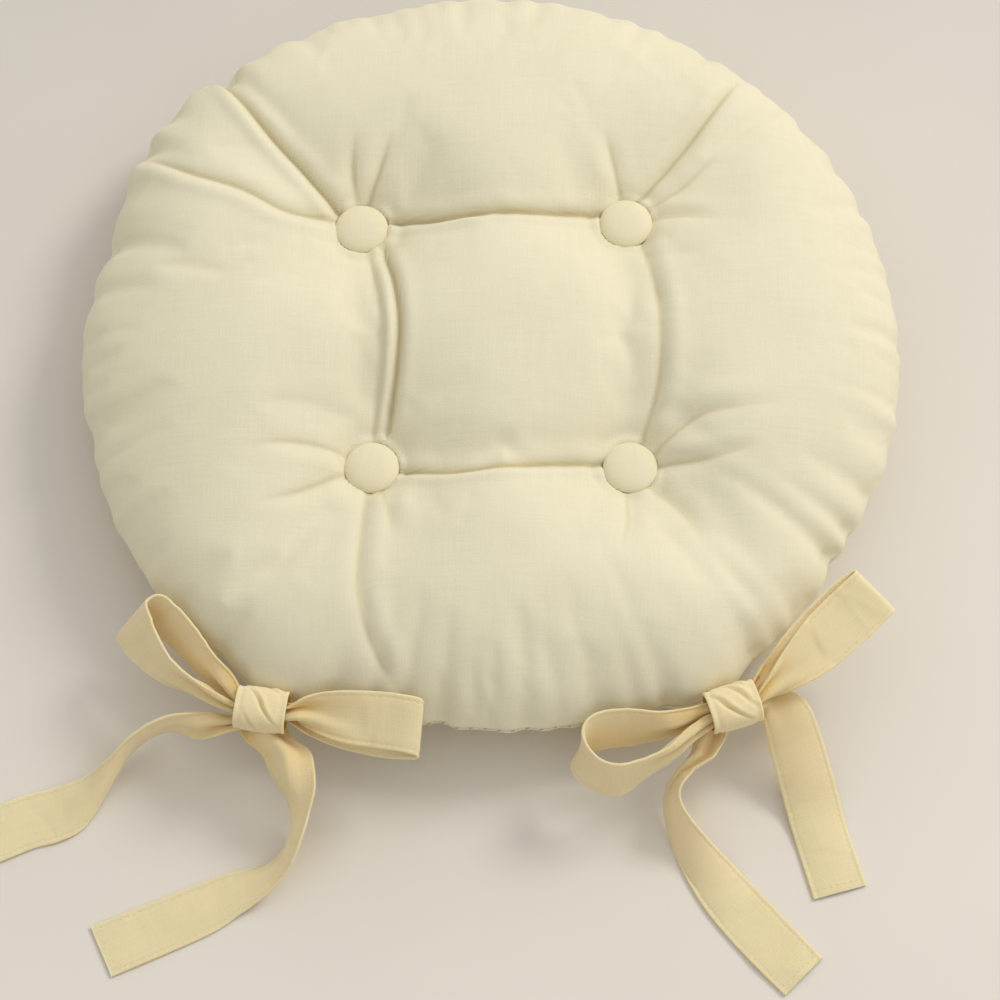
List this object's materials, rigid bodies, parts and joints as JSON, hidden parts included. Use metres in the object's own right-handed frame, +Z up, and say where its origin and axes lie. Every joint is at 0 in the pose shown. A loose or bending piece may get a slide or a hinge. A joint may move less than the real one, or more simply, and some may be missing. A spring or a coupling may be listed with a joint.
{
  "type": "chair seat pad",
  "caption": "Round tufted cream cotton seat pad with covered buttons, a fibre filling and two pairs of strap ties tied in bows at the back edge.",
  "frame": {"origin": "centre of the flat underside, on the plane that the pad rests on", "axes": "+Z up through the crown, +Y to the front of the seat, the ties at -Y, +X to the right"},
  "size_m": [0.485, 0.511, 0.076],
  "materials": {
    "cream_cotton": "matte plain-weave cotton, warm cream",
    "butter_cotton": "matte plain-weave cotton strap, butter yellow",
    "polyester_fibre": "white hollow-fibre filling",
    "sewing_thread": "twisted cotton sewing thread",
    "tufting_twine": "waxed upholstery twine",
    "horn_plastic": "cream moulded plastic",
    "tinned_steel": "tinned steel sheet and wire"
  },
  "bodies": {
    "pad": {"top_cover": "cream_cotton", "bottom_cover": "cream_cotton", "fibre_filling": "polyester_fibre", "seam_thread": "sewing_thread", "closing_stitches": "sewing_thread", "front_left_button_cover": "cream_cotton", "front_left_button_shell": "tinned_steel", "front_left_button_back": "tinned_steel", "front_left_button_shank": "tinned_steel", "front_left_twine": "tufting_twine", "front_left_under_button": "horn_plastic", "front_right_button_cover": "cream_cotton", "front_right_button_shell": "tinned_steel", "front_right_button_back": "tinned_steel", "front_right_button_shank": "tinned_steel", "front_right_twine": "tufting_twine", "front_right_under_button": "horn_plastic", "back_left_button_cover": "cream_cotton", "back_left_button_shell": "tinned_steel", "back_left_button_back": "tinned_steel", "back_left_button_shank": "tinned_steel", "back_left_twine": "tufting_twine", "back_left_under_button": "horn_plastic", "back_right_button_cover": "cream_cotton", "back_right_button_shell": "tinned_steel", "back_right_button_back": "tinned_steel", "back_right_button_shank": "tinned_steel", "back_right_twine": "tufting_twine", "back_right_under_button": "horn_plastic", "left_knot_core": "butter_cotton", "left_knot_wrap": "butter_cotton", "left_outer_loop": "butter_cotton", "left_inner_loop": "butter_cotton", "left_tie_stitches": "sewing_thread", "right_knot_core": "butter_cotton", "right_knot_wrap": "butter_cotton", "right_outer_loop": "butter_cotton", "right_inner_loop": "butter_cotton", "right_tie_stitches": "sewing_thread"},
    "left_outer_tail_body": {"left_outer_tail": "butter_cotton"},
    "left_inner_tail_body": {"left_inner_tail": "butter_cotton"},
    "right_outer_tail_body": {"right_outer_tail": "butter_cotton"},
    "right_inner_tail_body": {"right_inner_tail": "butter_cotton"}
  },
  "joints": [
    {"name": "left_outer_tail_lift", "type": "hinge", "parent": "pad", "child": "left_outer_tail_body", "pos_m": [-0.103, -0.193, 0.0315], "axis": [-1, 0, 0], "range_deg": [0, 30]},
    {"name": "left_inner_tail_lift", "type": "hinge", "parent": "pad", "child": "left_inner_tail_body", "pos_m": [-0.121, -0.19, 0.035], "axis": [0, 1, 0], "range_deg": [0, 40]},
    {"name": "right_outer_tail_lift", "type": "hinge", "parent": "pad", "child": "right_outer_tail_body", "pos_m": [0.101, -0.201, 0.0305], "axis": [-1, 0, 0], "range_deg": [0, 40]},
    {"name": "right_inner_tail_lift", "type": "hinge", "parent": "pad", "child": "right_inner_tail_body", "pos_m": [0.13, -0.1775, 0.0335], "axis": [-0.9023, -0.4311, 0], "range_deg": [0, 40]}
  ]
}
